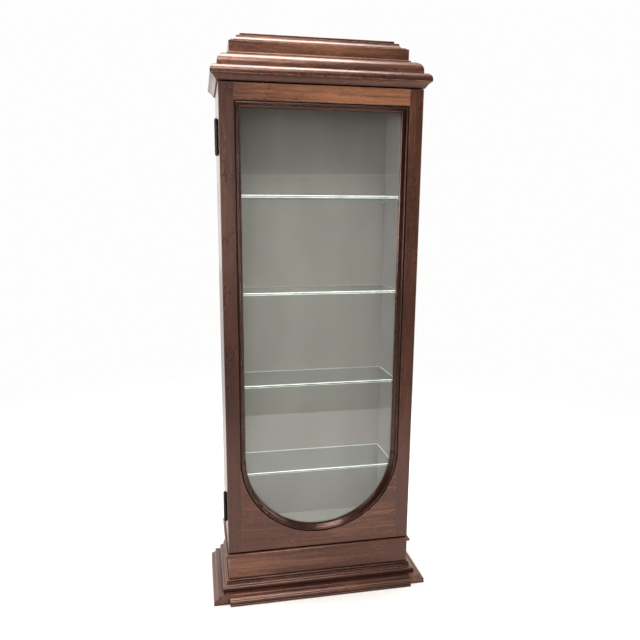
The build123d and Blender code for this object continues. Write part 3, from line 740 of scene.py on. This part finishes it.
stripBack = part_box("retainer_strips")[1].y
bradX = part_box("door_glass")[1].x - bradLook["inFromGlassEdge"]
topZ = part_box("door_glass")[1].z - bradLook["inFromGlassEdge"]
turns = [i * pi / arcSteps for i in range(arcSteps + 1)]
outline = [(-bradX * cos(a), stripBack, arcCentre - bradX * sin(a)) for a in turns]
outline += [(bradX, stripBack, topZ), (-bradX, stripBack, topZ)]
ring = bpy.data.meshes.new("bradPath")
ring.from_pydata(outline, [(i, (i + 1) % len(outline)) for i in range(len(outline))], [])
sizes = {"Spacing": bradLook["spacing"], "Head": bradLook["head"], "Seed": bradLook["seed"]}
source = bpy.data.objects.new("bradPath", ring)
grown(bradTree(finishes["zinc"]), source, sizes, "glazingBrads", "door", "zinc_steel")
print("brads set")


# CAD nodes that keep their own shape

keptNodes = {
    "doorGlass": ["door_glass"],
    "lining": ["back_lining", "side_lining_left", "side_lining_right", "floor_lining"],
    "bronzed": [
        "upper_hinge_frame_leaf", "lower_hinge_frame_leaf", "upper_hinge_door_leaf",
        "lower_hinge_door_leaf", "hinge_pins",
    ],
    "zinc": ["hanger_plates", "catch_plate"],
    "ferrite": ["catch_magnet"],
    "plastic": ["catch_housing"],
    "rubber": ["door_bumpers"],
}
for finish, names in keptNodes.items():
    for nodeName in names:
        nodes[nodeName].data.materials.clear()
        nodes[nodeName].data.materials.append(finishes[finish])
print("finishes on CAD nodes")


# floor, light and camera

floorLook = {
    "front": -0.94, "back": 7.0, "half": 4.0, "colour": (0.73, 0.725, 0.715),
    "fade": (0.75, 1.5),             # distance over which the paper turns into the backdrop
}


def paperFloor():
    f = Finish("paleFloorPaper")
    place = f.place()
    soft = f.noise(place, 1.6, 3.0)
    fine = f.noise(place, 300.0, 2.0)
    dimmer = tuple(c * 0.965 for c in floorLook["colour"])
    tint = f.mix(soft * 0.5, floorLook["colour"], dimmer)
    paper = f.shine(Base_Color=tint, Roughness=0.62 + fine * 0.1)
    far = f.put("ShaderNodeVectorMath", {"operation": "LENGTH"}, {0: place}, out="Value")
    glow = f.put("ShaderNodeEmission", None, {"Color": (*roomLook["seen"], 1.0)})
    faded = f.between(far, *floorLook["fade"])
    finish = f.end(f.put("ShaderNodeMixShader", None, {0: faded, 1: paper, 2: glow}))
    mesh = bpy.data.meshes.new("floor")
    x, y0, y1 = floorLook["half"], floorLook["front"], floorLook["back"]
    mesh.from_pydata([(-x, y0, 0), (x, y0, 0), (x, y1, 0), (-x, y1, 0)], [], [(0, 1, 2, 3)])
    mesh.materials.append(finish)
    floor = bpy.data.objects.new("floor", mesh)
    bpy.context.scene.collection.objects.link(floor)


lamps = {
    "overhead": {
        "at": (0.02, -0.12, 2.2), "towards": (0.0, -0.05, 0.4), "size": (0.9, 0.8), "power": 41.0,
        "colour": (1.0, 0.985, 0.965),
    },
    "frontLeft": {
        "at": (-0.76, -2.5, 0.78), "towards": (0.08, 0.0, 0.98), "size": (0.6, 0.9), "power": 3.3,
        "colour": (1.0, 0.98, 0.965), "spread": 50.0,
    },
    "frontHigh": {
        "at": (-0.10, -1.9, 2.4), "towards": (0.0, 0.0, 0.1), "size": (0.8, 0.7), "power": 26.0,
        "colour": (1.0, 0.985, 0.97),
    },
    "sideStrip": {
        "at": (1.75, -0.85, 0.8), "towards": (0.0, 0.0, 0.5), "size": (0.22, 1.6), "power": 14.0,
        "colour": (1.0, 0.985, 0.97),
    },
    "windowLeft": {
        "at": (-1.95, 0.5, 1.2), "towards": (0.0, 0.0, 0.4), "size": (0.9, 1.2), "power": 26.0,
        "colour": (0.98, 0.985, 1.0),
    },
}


def hang(name, facts):
    light = bpy.data.lights.new(name, "AREA")
    light.shape = "RECTANGLE"
    light.size, light.size_y = facts["size"]
    light.energy, light.color = facts["power"], facts["colour"]
    light.spread = radians(facts.get("spread", 180.0))
    lamp = bpy.data.objects.new(name, light)
    bpy.context.scene.collection.objects.link(lamp)
    lamp.location = facts["at"]
    aim = Vector(facts["towards"]) - Vector(facts["at"])
    lamp.rotation_euler = aim.to_track_quat("-Z", "Y").to_euler()


roomLook = {
    "seen": (0.985, 0.985, 0.98),
    "low": (0.32, 0.35, 0.345),      # in front, below the line that the door glass mirrors
    "high": (0.10, 0.095, 0.09),
    "ceiling": (0.62, 0.61, 0.59),
    "behind": (1.7, 1.68, 1.66),
    "behindRight": (1.15, 1.13, 1.11),
    "lineHeight": 0.0797,
    "line": (0.72, 0.70, 0.66),
}


def room(look):
    # a white sweep behind the object and a dimmer room in front; the camera itself sees white all round
    world = bpy.data.worlds.new("studioRoom")
    world.use_nodes = True
    world.node_tree.nodes.clear()
    bpy.context.scene.world = world
    f = Shading(world.node_tree)
    direction = f.put("ShaderNodeTexCoord", out="Generated")
    aside, depth, height = f.split(direction)
    step = height - look["lineHeight"]
    front = f.mix(f.between(step, -0.004, 0.004), look["low"], look["high"])
    line = 1.0 - f.between(step.alone("ABSOLUTE"), 0.001, 0.003)
    front = f.mix(line * 0.8, front, look["line"])
    front = f.mix(f.between(height, 0.45, 0.95), front, look["ceiling"])
    behind = f.mix(f.between(aside, -0.1, 0.55), look["behind"], look["behindRight"])
    everywhere = f.mix(f.between(depth, -0.12, 0.18), front, behind)
    cameraRay = f.put("ShaderNodeLightPath", out="Is Camera Ray")
    colour = f.mix(cameraRay, everywhere, look["seen"])
    glow = f.put("ShaderNodeBackground", None, {"Color": colour, "Strength": 1.0})
    f.put("ShaderNodeOutputWorld", None, {"Surface": glow})


cameraLook = {
    "at": (-0.1982, -0.9245, 0.6386), "yaw": 9.926, "pitch": 10.326,
    "lens": 31.42, "shiftX": 0.0390, "shiftY": 0.0072,
}


def setCamera(look):
    data = bpy.data.cameras.new("camera")
    data.lens, data.sensor_width = look["lens"], 36.0
    data.shift_x, data.shift_y = look["shiftX"], look["shiftY"]
    data.clip_start, data.clip_end = 0.05, 50.0
    camera = bpy.data.objects.new("camera", data)
    bpy.context.scene.collection.objects.link(camera)
    camera.location = look["at"]
    camera.rotation_euler = (radians(90 - look["pitch"]), 0.0, radians(-look["yaw"]))
    bpy.context.scene.camera = camera


paperFloor()
for name, facts in lamps.items():
    hang(name, facts)
room(roomLook)
setCamera(cameraLook)
bpy.context.scene.view_settings.view_transform = "Standard"
print("floor, lamps and camera set")
